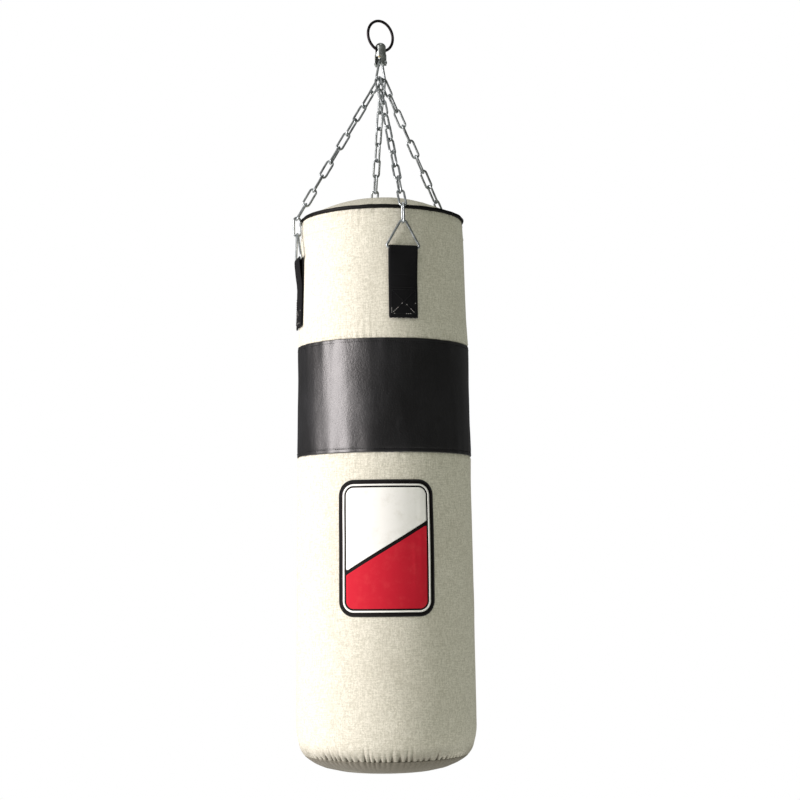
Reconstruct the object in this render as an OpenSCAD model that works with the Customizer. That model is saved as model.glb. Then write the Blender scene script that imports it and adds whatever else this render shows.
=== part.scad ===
// Hanging canvas heavy bag: a top ring, a swivel, four chains and a filled cylinder of cloth.
// Millimetres. The origin is where the ring's inner top rests on a hook, +Z is up the load
// line, and -Y faces the side with the emblem. Directions around the bag are turned from -Y
// towards +X.

/* [Ring and swivel] */
// Inner diameter of the hanging ring
ring_inner = 50; // [40:1:70]
// Wire of the hanging ring
ring_wire = 5; // [4:0.5:8]
// Turn of the ring's plane about the load line
ring_turn = 35; // [0:1:90]
// Diameter of the swivel head
head_d = 19; // [16:0.5:26]
// Diameter of the yoke
yoke_d = 21; // [18:0.5:28]
// Gap between the yoke's arms
yoke_gap = 12; // [10:0.5:16]
// Diameter of the yoke's cross pin
pin_d = 5; // [4:0.5:8]
// Wire of the connector link
connector_wire = 4.2; // [4:0.1:6]

/* [Chains] */
// Turn of the first chain from the front
chain_turn = 12.5; // [0:0.5:45]
// Wire of a chain link
link_wire = 3.8; // [3:0.1:5]
// Inner length of a chain link
link_inner = 30.3; // [24:0.1:36]
// Inner width of a chain link
link_width = 7.6; // [6:0.1:10]
// Links between the connector and the rim
links_over = 10; // [8:1:14]
// Distance of the outer chains from the middle of the connector's bar
seat_outer = 8.4; // [7:0.1:10]
// Distance of the inner chains from the middle of the connector's bar
seat_inner = 3.7; // [3:0.1:5]

/* [Hangers] */
// Wire of a triangle ring
ring3_wire = 4.2; // [3:0.1:6]
// Width of the webbing
strap_w = 50; // [38:1:60]
// Thickness of one layer of webbing
strap_t = 2; // [1.2:0.1:3]
// Height of a sewn strap
strap_h = 125; // [90:1:160]

/* [Bag] */
// Thickness of the canvas
cloth_t = 1.6; // [0.8:0.1:3]
// Rise of the top panel above the rim
dome_rise = 37; // [10:0.5:60]
// Thickness of the piping at the rim
piping_d = 6.8; // [4:0.1:10]
// Thickness of the foam behind the canvas
foam_t = 10; // [5:1:30]

/* [Emblem] */
// Width of the emblem
emblem_w = 160; // [100:1:180]
// Height of the emblem
emblem_h = 228; // [150:1:240]
// Corner radius of the emblem
emblem_r = 26; // [10:1:60]
// Gap between the emblem's two fields
emblem_gap = 7; // [3:0.5:15]

/* [Top closure] */
// Length of the zip along the top panel
zip_len = 180; // [120:1:220]
// Width of the zip's slot
zip_slot = 11; // [8:0.5:16]

/* [Hidden] */
$fn = 48;
ring_r = ring_inner / 2 + ring_wire / 2;
ring_z = -ring_inner / 2;
pivot_z = ring_z - ring_r;
plate_top = -60.5;
plate_t = 4;
pin_z = -76;
// the hangers are sewn on unevenly spaced
right_turn = chain_turn + 113.5;
back_turn = chain_turn + 173.5;
left_turn = chain_turn - 91.5;
bar_turn = chain_turn - 45;
bar_z = -107.6;
bar_r = connector_wire / 2;
rim_r = 142.4;
rim_z = -368;
rim_join = [0, -153.9, -367];
apex_join = [0, -153.4, -396.6];
strap_top = -437;
bar3_z = strap_top - strap_t - ring3_wire / 2;
bar3_y = -(146.7 + 0.2 + strap_t + ring3_wire / 2 + 0.1);
dome_edge = 138.9;
dome_r = (dome_edge * dome_edge + dome_rise * dome_rise) / (2 * dome_rise);
dome_z = rim_z + 2.3 + dome_rise - dome_r;
emblem_z = -950;
emblem_slope = 0.62;
zip_turn = bar_turn + 180;
wall = [[-1303, 143.5], [-1292, 149.8], [-1280, 154.2], [-1262, 157.6], [-1230, 158.2], [-1150, 157.2],
        [-1080, 156.6], [-1000, 156], [-900, 154.7], [-820, 153.3], [-789.5, 152.9],
        [-692, 152.2], [-595.5, 150.6], [-500, 148], [-437, 146.6], [-400, 144.6],
        [-371.5, 142.6]];
steel = [0.66, 0.68, 0.70];
dark = [0.12, 0.11, 0.12];
canvas = [0.83, 0.82, 0.74];
black = [0.04, 0.04, 0.045];

function wall_r(z) = lookup(z, wall);
function unit(v) = v / norm(v);
function heading(a) = [sin(a), -cos(a), 0];

// a rod from p to q
module rod(p, q, r) {
    d = q - p;
    translate(p) rotate([0, acos(d[2] / norm(d)), atan2(d[1], d[0])]) cylinder(r = r, h = norm(d));
}

// part of a torus about Z, from angle a to angle b
module bend(radius, wire, a, b) {
    rotate([0, 0, a]) rotate_extrude(angle = b - a) translate([radius, 0]) circle(d = wire);
}

// a wire loop in the XZ plane: a narrow round top, straight sides and a flat bottom bar
module wire_loop(wire, top_r, top_z, low_r, low_x, low_z) {
    d = norm([low_x, low_z - top_z]);
    turn = atan2(low_z - top_z, low_x) + acos((top_r - low_r) / d);
    out = [cos(turn), sin(turn), 0];
    upper = [0, top_z, 0] + top_r * out;
    lower = [low_x, low_z, 0] + low_r * out;
    lap = 0.25 * unit(lower - upper);
    rotate([90, 0, 0]) union() {
        translate([0, top_z, 0]) bend(top_r, wire + 0.04, turn, 180 - turn);
        for (side = [0, 1]) mirror([side, 0, 0]) {
            translate([low_x, low_z, 0]) bend(low_r, wire + 0.04, -90, turn);
            rod(upper - lap, lower + lap, wire / 2);
        }
        rod([-low_x - 0.25, low_z - low_r, 0], [low_x + 0.25, low_z - low_r, 0], wire / 2);
    }
}

// one chain link, long along Z, lying in the YZ plane, so its normal is X
module chain_link() {
    radius = (link_width + link_wire) / 2;
    half = link_inner / 2 + link_wire / 2 - radius;
    rotate([90, 0, 90]) union() {
        translate([0, half, 0]) bend(radius, link_wire, 0, 180);
        translate([0, -half, 0]) bend(radius, link_wire, 180, 360);
        for (side = [-1, 1]) rod([side * radius, -half, 0], [side * radius, half, 0], link_wire / 2);
    }
}

// a link with its long axis along u, and its normal turned by twist about it
module placed_link(c, u, twist) {
    translate(c) rotate([0, acos(u[2]), atan2(u[1], u[0])]) rotate([0, 0, twist]) chain_link();
}

// a straight chain from the connector's bar to the rim, and one link down to the triangle ring
module chain(turn, seat) {
    bar = heading(bar_turn - turn);
    start = [0, 0, bar_z] + seat * bar;
    aim = unit(rim_join - start);
    across = unit(aim - (aim * bar) * bar);
    first = start - (bar_r + 0.16) * across;
    span = norm(rim_join - first);
    u = (rim_join - first) / span;
    pitch = span / links_over;
    side = cross([0, 0, 1], bar);
    flat = unit(cross(side, u)) * sign(seat);
    phi = atan2(u[1], u[0]);
    theta = acos(u[2]);
    xa = [cos(phi) * cos(theta), sin(phi) * cos(theta), -sin(theta)];
    ya = [-sin(phi), cos(phi), 0];
    begin = atan2(flat * ya, flat * xa);
    wrapped = begin > 90 ? begin - 180 : begin < -90 ? begin + 180 : begin;
    goal = wrapped < 0 ? -90 : 90;
    rotate([0, 0, turn]) {
        for (i = [1:links_over])
            placed_link(first + u * pitch * (i - 0.5), u,
                        wrapped + (goal - wrapped) * (i - 1) / (links_over - 2) + 90 * (i - 1));
        placed_link((rim_join + apex_join) / 2 + [0, 0, 0.25], unit(apex_join - rim_join), 90);
    }
}

// a triangle ring whose apex hangs in the last link and whose bar lies in the strap
module triangle_ring(turn) {
    apex = [0, apex_join[1], apex_join[2] + ring3_wire / 2];
    foot = [0, bar3_y, bar3_z];
    lean = atan2(foot[1] - apex[1], apex[2] - foot[2]);
    height = norm(apex - foot);
    rotate([0, 0, turn]) translate(foot) rotate([lean, 0, 0])
        wire_loop(ring3_wire, 7, height - 7, 3.5, strap_w / 2 - 0.4, 3.5);
}

// webbing folded over the ring's bar, with both layers sewn flat on the wall
module strap(turn) {
    low = strap_top - strap_h;
    round_r = strap_t + ring3_wire / 2 + 0.1;
    hole_r = ring3_wire / 2 + 0.1;
    sweep = 2 * asin(strap_w / 2 / 149);
    rotate([0, 0, turn]) difference() {
        union() {
            translate([0, bar3_y, bar3_z]) rotate([0, 90, 0])
                cylinder(r = round_r, h = strap_w, center = true);
            translate([-strap_w / 2, bar3_y, 0]) rotate([90, 0, 90]) linear_extrude(strap_w)
                polygon([[round_r, bar3_z], [round_r, bar3_z - 26], [-1.2, bar3_z - 26],
                         [-round_r, bar3_z]]);
            rotate([0, 0, -90 - sweep / 2]) rotate_extrude(angle = sweep)
                polygon([for (z = [strap_top - 10, -500, low]) [wall_r(z) + 0.15, z],
                         for (z = [low, -500, strap_top - 10]) [wall_r(z) + 0.15 + 2 * strap_t, z]]);
        }
        translate([0, bar3_y, bar3_z]) rotate([0, 90, 0])
            cylinder(r = hole_r, h = 2 * strap_w, center = true);
        rotate_extrude() polygon([[100, strap_top + 2], [wall_r(strap_top) - 0.1, strap_top + 2],
            for (z = [strap_top, -500, low]) [wall_r(z) + 0.12, z],
            [wall_r(low) + 0.12, low - 5], [100, low - 5]]);
    }
}

// a band of cloth between two heights, on the line of the wall
module cloth(low, high, out, inside) {
    marks = [for (p = wall) if (p[0] > low + 0.01 && p[0] < high - 0.01) p[0]];
    heights = concat([low], marks, [high]);
    n = len(heights);
    rotate_extrude() polygon([for (z = heights) [wall_r(z) + out, z],
                              for (i = [1:n]) [wall_r(heights[n - i]) + inside, heights[n - i]]]);
}

// a plate with rounded corners, seen along Y
module plate(w, h, r) {
    translate([0, 0, emblem_z]) rotate([90, 0, 0]) linear_extrude(200) union() {
        square([w - 2 * r, h], center = true);
        square([w, h - 2 * r], center = true);
        for (x = [-1, 1], y = [-1, 1]) translate([x * (w / 2 - r), y * (h / 2 - r)]) circle(r);
    }
}

// the skin of the wall between two depths, where the emblem lies
module skin(inside, out) {
    rotate([0, 0, -90 - 38]) rotate_extrude(angle = 76)
        polygon([for (z = [-1080, -1000, -900, -820]) [wall_r(z) + inside, z],
                 for (z = [-820, -900, -1000, -1080]) [wall_r(z) + out, z]]);
}

// a strip along the top panel, between two depths from its surface and two offsets from the zip
module top_strip(inside, out, a, b, reach) {
    half = reach / dome_r * 90 / 3.14159;
    rotate([0, 0, zip_turn]) translate([0, 0, dome_z]) rotate([90, 0, 0]) rotate([0, 0, 90 - half])
        rotate_extrude(angle = 2 * half)
            translate([dome_r + inside, a]) square([out - inside, b - a]);
}

module hanging_ring() {
    color(dark) rotate([0, 0, ring_turn]) translate([0, 0, ring_z]) rotate([90, 0, 0])
        rotate_extrude() translate([ring_r, 0]) circle(d = ring_wire);
}

module swivel_head() {
    // the cross hole is plain in its middle and wider at its mouths, where the ring's wire curves up
    cap = 7;
    cap_r = (head_d * head_d / 4 + cap * cap) / (2 * cap);
    s = [for (i = [-6:6]) if (i != 0) i * (head_d / 2 + 0.6) / 6];
    color(steel) difference() {
        union() {
            translate([0, 0, -60]) cylinder(d = head_d, h = 15);
            intersection() {
                translate([0, 0, -45]) cylinder(d = head_d, h = 8);
                translate([0, 0, -38 - cap_r]) sphere(cap_r);
            }
            translate([0, 0, -68.6]) cylinder(r = 4, h = 9);
        }
        translate([0, 0, pivot_z]) rotate([0, 0, ring_turn]) rotate([0, 90, 0]) rotate_extrude()
            polygon([[0, s[0]], for (x = s) [ring_wire / 2 / cos(asin(x / ring_r)) + 0.12
                     + ring_r - sqrt(ring_r * ring_r - x * x), x], [0, s[11]]]);
    }
}

module retaining_nut() {
    color(steel) translate([0, 0, -68.6]) difference() {
        cylinder(r = 5.6, h = 3);
        translate([0, 0, -1]) cylinder(r = 4, h = 5);
    }
}

module thrust_washer() {
    color([0.72, 0.6, 0.35]) translate([0, 0, -65.55]) difference() {
        cylinder(r = 5.8, h = 1);
        translate([0, 0, -1]) cylinder(r = 4.1, h = 3);
    }
}

module swivel_yoke() {
    color(steel) rotate([0, 0, bar_turn]) difference() {
        intersection() {
            translate([0, 0, -82]) cylinder(d = yoke_d, h = 82 + plate_top);
            union() {
                translate([0, 0, -71.5]) rotate([0, 90, 0]) cylinder(r = 9.8, h = 30, center = true);
                translate([-20, -20, -71.5]) cube([40, 40, 20]);
            }
        }
        translate([-yoke_gap / 2, -20, -90]) cube([yoke_gap, 40, 90 + plate_top - plate_t]);
        translate([0, 0, -70]) cylinder(r = 4.05, h = 20);
        translate([0, 0, pin_z]) rotate([0, 90, 0]) cylinder(r = pin_d / 2 + 0.03, h = 40, center = true);
    }
}

module yoke_pin() {
    color(steel) rotate([0, 0, bar_turn]) translate([0, 0, pin_z]) rotate([0, 90, 0]) {
        cylinder(d = pin_d, h = yoke_d + 0.8, center = true);
        for (side = [0, 1]) mirror([0, 0, side]) translate([0, 0, yoke_d / 2 + 0.1])
            cylinder(r1 = 3.6, r2 = 2.9, h = 1.3);
    }
}

module connector_link() {
    top = pin_z + pin_d / 2 + 0.05;
    color(steel) rotate([0, 0, bar_turn + 90])
        wire_loop(connector_wire, 3.5 + bar_r, top - 3.5, 4, 10.6, bar_z + 4);
}

module chain_front() { color(steel) chain(chain_turn, seat_outer); }
module chain_right() { color(steel) chain(right_turn, -seat_outer); }
module chain_back() { color(steel) chain(back_turn, -seat_inner); }
module chain_left() { color(steel) chain(left_turn, seat_inner); }

module triangle_ring_front() { color(steel) triangle_ring(chain_turn); }
module triangle_ring_right() { color(steel) triangle_ring(right_turn); }
module triangle_ring_back() { color(steel) triangle_ring(back_turn); }
module triangle_ring_left() { color(steel) triangle_ring(left_turn); }

module strap_front() { color(black) strap(chain_turn); }
module strap_right() { color(black) strap(right_turn); }
module strap_back() { color(black) strap(back_turn); }
module strap_left() { color(black) strap(left_turn); }

module top_panel() {
    color(canvas) difference() {
        intersection() {
            difference() {
                translate([0, 0, dome_z]) sphere(dome_r, $fn = 96);
                translate([0, 0, dome_z]) sphere(dome_r - cloth_t, $fn = 96);
            }
            translate([0, 0, rim_z - 6]) cylinder(r = dome_edge, h = 60);
        }
        top_strip(-6, 4, -zip_slot / 2, zip_slot / 2, zip_len);
    }
}

module rim_piping() {
    color(black) translate([0, 0, rim_z]) rotate_extrude()
        translate([rim_r, 0]) circle(d = piping_d);
}

module upper_panel() { color(canvas) cloth(-595.5, -371.5, 0, -cloth_t); }
module vinyl_band() { color(black) cloth(-789.5, -595.5, 0, -cloth_t); }
module lower_panel() { color(canvas) cloth(-1303, -789.5, 0, -cloth_t); }

module base_panel() {
    color(canvas) rotate_extrude()
        polygon([[0, -1332], [60, -1331], [90, -1328], [112, -1322.5], [126, -1316.5], [136, -1310],
                 [143.5, -1303.05], [141.3, -1303.05], [135, -1308.9], [125.2, -1315.1],
                 [111.5, -1321], [89.7, -1326.4], [60, -1329.4], [0, -1330.4]]);
}

module foam_liner() { color([0.35, 0.36, 0.38]) cloth(-1296, -374, -cloth_t - 0.1, -cloth_t - foam_t); }

module filling() {
    // its side keeps just inside the liner
    side = cloth_t + foam_t + 0.3;
    n = len(wall);
    color([0.5, 0.45, 0.42]) rotate_extrude()
        polygon([[0, -341], [50, -344.6], [95, -356.5], [120, -370],
                 for (i = [1:n]) [wall[n - i][1] - side, wall[n - i][0]],
                 [124, -1312], [110, -1318], [60, -1326], [0, -1327]]);
}

module emblem_patch() {
    color(black) intersection() { skin(0.1, 1.1); plate(emblem_w, emblem_h, emblem_r); }
}

module emblem_line() {
    color([0.9, 0.9, 0.88]) intersection() {
        skin(1.12, 1.5);
        difference() {
            plate(emblem_w - 14, emblem_h - 14, emblem_r - 7);
            translate([0, 1, 0]) plate(emblem_w - 20, emblem_h - 20, emblem_r - 10);
        }
    }
}

// one half of the emblem's field, above (1) or below (-1) its slanted gap
module emblem_half(side) {
    intersection() {
        skin(1.12, 1.5);
        plate(emblem_w - 26, emblem_h - 26, emblem_r - 13);
        translate([0, 0, emblem_z]) rotate([90, 0, 0]) linear_extrude(200)
            polygon([[-emblem_w, side * emblem_gap / 2 - emblem_w * emblem_slope],
                     [emblem_w, side * emblem_gap / 2 + emblem_w * emblem_slope],
                     [emblem_w, side * emblem_h], [-emblem_w, side * emblem_h]]);
    }
}

module emblem_white() {
    color([0.9, 0.9, 0.88]) emblem_half(1);
}

module emblem_red() {
    color([0.75, 0.1, 0.1]) emblem_half(-1);
}

module zip_tape() {
    color(black) for (side = [0, 1]) rotate([0, 0, zip_turn]) mirror([0, side, 0])
        rotate([0, 0, -zip_turn]) top_strip(-3.1, -2.15, 1.6, 15, zip_len + 16);
}

module zip_teeth() {
    color([0.55, 0.5, 0.4]) for (side = [0, 1]) rotate([0, 0, zip_turn]) mirror([0, side, 0])
        rotate([0, 0, -zip_turn]) top_strip(-1.65, -0.2, 0.05, 3, zip_len - 8);
}

module zip_slider() {
    turn = (zip_len / 2 - 14) / dome_r * 180 / 3.14159;
    color(steel) rotate([0, 0, zip_turn]) translate([0, 0, dome_z]) rotate([0, turn, 0])
        translate([0, 0, dome_r]) difference() {
            union() {
                translate([-6.5, -4.6, -1.1]) cube([13, 9.2, 2.9]);
                translate([-1.2, 0, 3.2]) rotate([90, 0, 0]) cylinder(r = 1.8, h = 2.4, center = true);
                translate([-3, -1.2, 1]) cube([3.6, 2.4, 2.2]);
            }
            translate([-10, -3.3, -2]) cube([20, 6.6, 2.1]);
            translate([-1.2, 0, 3.2]) rotate([90, 0, 0]) cylinder(r = 0.9, h = 9, center = true);
        }
}

module zip_pull() {
    turn = (zip_len / 2 - 14) / dome_r * 180 / 3.14159;
    color(steel) rotate([0, 0, zip_turn]) translate([0, 0, dome_z]) rotate([0, turn, 0])
        translate([-1.2, 0, dome_r + 3.2]) rotate([0, 3, 0]) union() {
            rotate([90, 0, 0]) cylinder(r = 0.8, h = 7, center = true);
            for (side = [-1, 1]) translate([-8, side * 3.1 - 0.8, -0.8]) cube([8.3, 1.6, 1.6]);
            translate([-30, -3.9, -0.8]) cube([22.4, 7.8, 1.6]);
        }
}

hanging_ring();
swivel_head();
retaining_nut();
thrust_washer();
swivel_yoke();
yoke_pin();
connector_link();
chain_front();
chain_right();
chain_back();
chain_left();
triangle_ring_front();
triangle_ring_right();
triangle_ring_back();
triangle_ring_left();
strap_front();
strap_right();
strap_back();
strap_left();
top_panel();
rim_piping();
upper_panel();
vinyl_band();
lower_panel();
base_panel();
foam_liner();
filling();
emblem_patch();
emblem_line();
emblem_white();
emblem_red();
zip_tape();
zip_teeth();
zip_slider();
zip_pull();
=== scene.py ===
import math
import bpy
import numpy as np
from mathutils import Matrix, Vector


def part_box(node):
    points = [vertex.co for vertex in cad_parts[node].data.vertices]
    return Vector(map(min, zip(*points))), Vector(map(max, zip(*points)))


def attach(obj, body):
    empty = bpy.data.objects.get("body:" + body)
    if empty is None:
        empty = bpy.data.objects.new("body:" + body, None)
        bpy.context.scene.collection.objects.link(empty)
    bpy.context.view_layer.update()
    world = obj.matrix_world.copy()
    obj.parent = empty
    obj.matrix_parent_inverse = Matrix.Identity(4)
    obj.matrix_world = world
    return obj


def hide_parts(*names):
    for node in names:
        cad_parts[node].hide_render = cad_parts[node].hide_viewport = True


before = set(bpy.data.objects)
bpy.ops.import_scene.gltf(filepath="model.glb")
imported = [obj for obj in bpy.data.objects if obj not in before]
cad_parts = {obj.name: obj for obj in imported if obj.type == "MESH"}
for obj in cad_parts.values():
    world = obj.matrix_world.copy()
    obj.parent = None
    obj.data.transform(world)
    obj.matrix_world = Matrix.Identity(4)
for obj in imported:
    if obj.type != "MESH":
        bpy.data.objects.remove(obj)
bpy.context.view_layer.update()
scene = bpy.context.scene
mm = 0.001
print("frame loaded:", len(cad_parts), "nodes")


# camera, a little below the bag's middle and looking a little up
camera = {"distance": 3.0, "side": -1.0, "height": -0.98, "up": 5.57, "right": 0.556, "roll": -0.55,
          "lens": 76.5, "sensor": 36}


def aimCamera(c):
    data = bpy.data.cameras.new("camera")
    data.lens, data.sensor_width = c["lens"], c["sensor"]
    eye = bpy.data.objects.new("camera", data)
    scene.collection.objects.link(eye)
    side = math.radians(c["side"])
    place = Vector((math.sin(side), -math.cos(side), 0)) * c["distance"] + Vector((0, 0, c["height"]))
    turn = Matrix.Rotation(side - math.radians(c["right"]), 4, "Z")
    tilt = Matrix.Rotation(math.radians(90 + c["up"]), 4, "X")
    roll = Matrix.Rotation(math.radians(c["roll"]), 4, "Z")
    eye.matrix_world = Matrix.Translation(place) @ turn @ tilt @ roll
    scene.camera = eye


aimCamera(camera)
print("camera set")


class Value:
    # a shader socket that Python's operators turn into Math nodes
    def __init__(self, finish, socket):
        self.finish, self.socket = finish, socket

    def math(self, operation, *others, swapped=False):
        terms = [self, *others]
        if swapped:
            terms.reverse()
        node = self.finish.add("ShaderNodeMath", {"operation": operation}, dict(enumerate(terms)))
        return Value(self.finish, node.outputs[0])

    def __add__(self, other): return self.math("ADD", other)
    def __radd__(self, other): return self.math("ADD", other)
    def __sub__(self, other): return self.math("SUBTRACT", other)
    def __rsub__(self, other): return self.math("SUBTRACT", other, swapped=True)
    def __mul__(self, other): return self.math("MULTIPLY", other)
    def __rmul__(self, other): return self.math("MULTIPLY", other)
    def __truediv__(self, other): return self.math("DIVIDE", other)
    def __rtruediv__(self, other): return self.math("DIVIDE", other, swapped=True)
    def __pow__(self, other): return self.math("POWER", other)

    def step(self, low, high):  # 0 below low, 1 above high, smooth between
        node = self.finish.add("ShaderNodeMapRange", {"interpolation_type": "SMOOTHSTEP"},
                               {0: self, 1: low, 2: high, 3: 0.0, 4: 1.0})
        return Value(self.finish, node.outputs[0])


class Finish:
    # one material: a Principled shader and the nodes that feed it
    def __init__(self, name, **constants):
        self.name, self.material = name, bpy.data.materials.new(name)
        self.material.use_nodes = True
        self.tree = self.material.node_tree
        self.shader = self.tree.nodes["Principled BSDF"]
        for socket, value in constants.items():
            self.shader.inputs[socket.replace("_", " ")].default_value = value

    def add(self, kind, settings=None, inputs=None):
        node = self.tree.nodes.new(kind)
        for key, value in (settings or {}).items():
            setattr(node, key, value)
        for key, value in (inputs or {}).items():
            self.feed(node.inputs[key], value)
        return node

    def feed(self, socket, value):
        if isinstance(value, Value):
            self.tree.links.new(value.socket, socket)
        elif socket.type == "RGBA" and len(value) == 3:
            socket.default_value = (*value, 1)
        else:
            socket.default_value = value

    def place(self):  # x, y and z in the object's own frame, in metres
        where = self.add("ShaderNodeTexCoord")
        self.where = Value(self, where.outputs["Object"])
        parts = self.add("ShaderNodeSeparateXYZ", None, {0: self.where})
        return [Value(self, socket) for socket in parts.outputs]

    def vector(self, x, y, z):
        return Value(self, self.add("ShaderNodeCombineXYZ", None, {0: x, 1: y, 2: z}).outputs[0])

    def noise(self, where, scale, detail=3.0, rough=0.5):
        node = self.add("ShaderNodeTexNoise", None,
                        {"Vector": where, "Scale": scale, "Detail": detail, "Roughness": rough})
        return Value(self, node.outputs[0])

    def streaks(self, x, y, z, detail, rough=0.5):  # noise in a stretched space
        return self.noise(self.vector(x, y, z), 1.0, detail, rough)

    def mix(self, amount, low, high):
        node = self.add("ShaderNodeMix", {"data_type": "RGBA"}, {0: amount, 6: low, 7: high})
        return Value(self, node.outputs[2])

    def bump(self, height, distance, strength=1.0, under=None):
        inputs = {"Height": height, "Distance": distance, "Strength": strength}
        if under:
            inputs["Normal"] = under
        return Value(self, self.add("ShaderNodeBump", None, inputs).outputs[0])

    def wear(self, **links):
        for socket, value in links.items():
            self.feed(self.shader.inputs[socket.replace("_", " ")], value)
        return self


def around(finish, radius):
    # arc length round the bag and height, so threads keep their pitch with no UV map
    x, y, z = finish.place()
    return y.math("ARCTAN2", x) * radius, z


def ribs(u, pitch):
    # rounded ribs side by side, height 0 to 1
    return (u * (math.pi / pitch)).math("SINE").math("ABSOLUTE")


def weave(u, v, pitch, arch=0.6):
    # plain weave: each thread arches over one neighbour and under the next, height 0 to 1
    a, b = u / pitch, v / pitch
    over = (a.math("FLOOR") + b.math("FLOOR")).math("FLOORED_MODULO", 2.0)
    across, along = ribs(a, 1), ribs(b, 1)
    warp = across ** arch * (along * 0.5 + 0.5)
    weft = along ** arch * (across * 0.5 + 0.5)
    return over * warp + (1 - over) * weft


# dirt is also the colour of the painted shade in the gathers and on the base
canvasCloth = {"pitch": 1.6 * mm, "radius": 154 * mm, "slub": (650, 60), "relief": 0.45 * mm,
               "pale": (0.76, 0.73, 0.63), "dull": (0.50, 0.475, 0.385), "stain": (0.44, 0.40, 0.31),
               "gap": (0.33, 0.31, 0.25), "dirt": (0.145, 0.13, 0.10), "darkest": 0.95,
               "darkerBelow": (-1.275, -1.305), "foot": -1.303, "footRadius": 143.5 * mm, "footSlope": 0.66,
               "footBend": 8.4, "foldDeep": (0.3 * mm, 3.6 * mm), "foldTall": (18 * mm, 26 * mm),
               "foldShadeAmount": 0.9}


def paintedFoldShade(x, y, z):
    # painted shade in the gathers: darker where the cloth lies inside the smooth outline above the base seam
    c = canvasCloth
    rise = z - c["foot"]
    outside = rise * c["footSlope"] - rise * rise * c["footBend"] + c["footRadius"]
    inside = (outside - (x * x + y * y).math("SQRT")).step(*c["foldDeep"])
    return inside * (1 - rise.step(*c["foldTall"])) * rise.step(-1 * mm, 0.5 * mm) * c["foldShadeAmount"]


def canvasFinish(name, darkening, level=False):
    # level cloth, over the top and base, has its threads along x and y
    c = canvasCloth
    # the second argument darkens the whole cloth towards the dirt colour; on the base this is painted shade
    f = Finish(name, Sheen_Weight=0.08, Sheen_Roughness=0.6, Specular_IOR_Level=0.2)
    x, y, z = f.place()
    u, v = (x, y) if level else around(f, c["radius"])
    threads = weave(u, v, c["pitch"])
    thin, long = c["slub"]
    slubWarp = f.streaks(u * thin, v * long, 0.0, 2.0)
    slubWeft = f.streaks(u * long, v * thin, 3.0, 2.0)
    grain = f.noise(f.where, 330.0, 2.0, 0.75)
    cloud = f.noise(f.where, 9.0, 3.0)
    fleck = f.noise(f.where, 190.0, 1.0).step(0.70, 0.78)
    tone = (slubWarp + slubWeft) * 0.28 + grain * 0.44
    colour = f.mix(tone.step(0.38, 0.62), c["dull"], c["pale"])
    # painted shade between the threads: darker where the weave dips
    colour = f.mix(threads.step(0.0, 0.5), c["gap"], colour)
    colour = f.mix(cloud.step(0.42, 0.8) * 0.2 + fleck * 0.3, colour, c["stain"])
    # darker in cloudy patches towards the base seam, plus the even darkening of the finish
    shadeAndDarkening = z.step(*c["darkerBelow"]) * cloud.step(0.2, 0.6) * 0.65 + (grain * 0.4 + cloud * 0.6 + 0.5) * darkening
    # painted shade in the gathers above the base seam
    shadeAndDarkening = shadeAndDarkening + paintedFoldShade(x, y, z)
    # mixed towards the dirt colour, which here is partly painted shade
    colour = f.mix(shadeAndDarkening.math("MINIMUM", c["darkest"]), colour, c["dirt"])
    height = threads * 0.6 + slubWarp * 0.3 + slubWeft * 0.3 + grain * 0.3
    f.wear(Base_Color=colour, Roughness=0.82 + cloud * 0.12, Normal=f.bump(height, c["relief"], 0.8))
    return f


vinylSheet = {"radius": 149 * mm, "deep": (0.0012, 0.0013, 0.002), "rubbed": (0.005, 0.0055, 0.0075),
              "ripple": 6.0 * mm, "emboss": 1.0 * mm, "pebble": 0.12 * mm}


def vinylFinish():
    c = vinylSheet
    f = Finish("vinyl", Specular_IOR_Level=0.8, Specular_Tint=(1, 0.985, 0.95, 1), Coat_Roughness=0.3)
    u, v = around(f, c["radius"])
    haze = f.streaks(u * 14, v * 9, 0.0, 4.0, 0.6)
    rubbed = f.streaks(u * 60, v * 25, 5.0, 3.0).step(0.55, 0.8)
    colour = f.mix(haze.step(0.35, 0.7) * 0.6 + rubbed * 0.4, c["deep"], c["rubbed"])
    # three reliefs on each other: slow ripples, embossed grain with creases, fine pebble
    crease = f.streaks(u * 9, v * 170, 9.0, 3.0)
    grain = f.noise(f.where, 330.0, 2.0, 0.7)
    pebble = f.noise(f.where, 900.0, 2.0, 0.6)
    relief = f.bump(haze, c["ripple"], 0.25)
    relief = f.bump(grain * 0.7 + crease * 0.3, c["emboss"], 0.6, relief)
    f.wear(Base_Color=colour, Roughness=0.33 + haze * 0.18 + rubbed * 0.08, Coat_Weight=0.3 + haze * 0.2,
           Normal=f.bump(pebble, c["pebble"], 0.35, relief))
    return f


def pipingFinish():
    f = Finish("piping", Specular_IOR_Level=0.12)
    f.place()
    speck = f.noise(f.where, 700.0)
    f.wear(Base_Color=f.mix(speck, (0.002, 0.002, 0.002), (0.009, 0.008, 0.008)),
           Roughness=0.45 + speck * 0.2, Normal=f.bump(speck, 0.1 * mm, 0.4))
    return f


ribbed = {"radius": 150 * mm, "rib": 1.9 * mm, "twill": 3.2 * mm, "pick": 1.1 * mm, "relief": 0.5 * mm}


def webbingFinish(name, shade, lit):
    # ribs down the webbing that sway with its twill, crossed by fine picks
    c = ribbed
    f = Finish(name, Sheen_Weight=0.02, Specular_IOR_Level=0.12)
    u, v = around(f, c["radius"])
    sway = (v * (2 * math.pi / c["twill"])).math("SINE") * 0.9
    rib = (u * (math.pi / c["rib"]) + sway).math("SINE").math("ABSOLUTE")
    height = rib * 0.7 + ribs(v, c["pick"]) * 0.3
    fuzz = f.noise(f.where, 800.0, 3.0, 0.7)
    f.wear(Base_Color=f.mix(height * 0.6 + fuzz * 0.4, shade, lit), Roughness=0.6 + fuzz * 0.25,
           Normal=f.bump(height + fuzz * 0.4, c["relief"], 0.8))
    return f


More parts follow.
